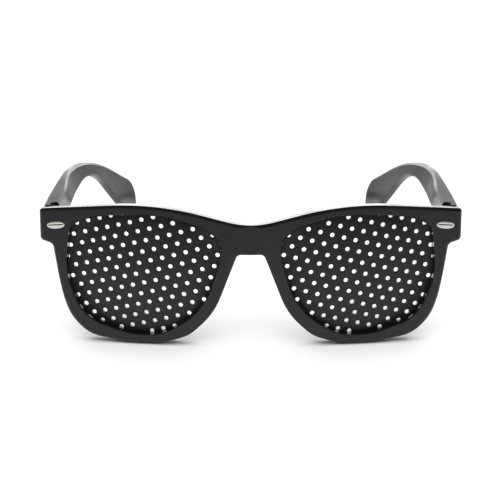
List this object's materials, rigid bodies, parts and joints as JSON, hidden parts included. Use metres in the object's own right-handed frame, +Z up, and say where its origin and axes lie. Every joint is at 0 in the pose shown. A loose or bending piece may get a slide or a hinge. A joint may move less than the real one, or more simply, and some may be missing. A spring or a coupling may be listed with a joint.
{
  "type": "pinhole glasses",
  "caption": "Black plastic pinhole glasses with two perforated plates, a moulded bridge with nose pads, and folding temples.",
  "frame": {"origin": "middle of the underside of the object's box as it stands on its rims and temple tips", "axes": "+X across to the wearer's left, +Y back along the temples to the wearer, +Z up"},
  "size_m": [0.1496, 0.1374, 0.0499],
  "materials": {
    "frame_plastic": "polished black moulding",
    "temple_plastic": "polished black moulding",
    "plate_plastic": "fine satin black",
    "rivet_metal": "bright nickel plate",
    "hinge_metal": "plain nickel silver",
    "screw_metal": "plain steel"
  },
  "bodies": {
    "front": {"front_frame": "frame_plastic", "pinhole_plate_left": "plate_plastic", "rivet_left": "rivet_metal", "front_hinge_left": "hinge_metal", "hinge_screw_left": "screw_metal", "pinhole_plate_right": "plate_plastic", "rivet_right": "rivet_metal", "front_hinge_right": "hinge_metal", "hinge_screw_right": "screw_metal"},
    "temple_left": {"temple_left": "temple_plastic", "temple_hinge_left": "hinge_metal"},
    "temple_right": {"temple_right": "temple_plastic", "temple_hinge_right": "hinge_metal"}
  },
  "joints": [
    {"name": "temple_left_fold", "type": "hinge", "parent": "front", "child": "temple_left", "pos_m": [0.0702, -0.05082, 0.04135], "axis": [0, 0.1795, 0.9837], "range_deg": [0, 83]},
    {"name": "temple_right_fold", "type": "hinge", "parent": "front", "child": "temple_right", "pos_m": [-0.0702, -0.05082, 0.04135], "axis": [0, -0.1795, -0.9837], "range_deg": [0, 76]}
  ]
}
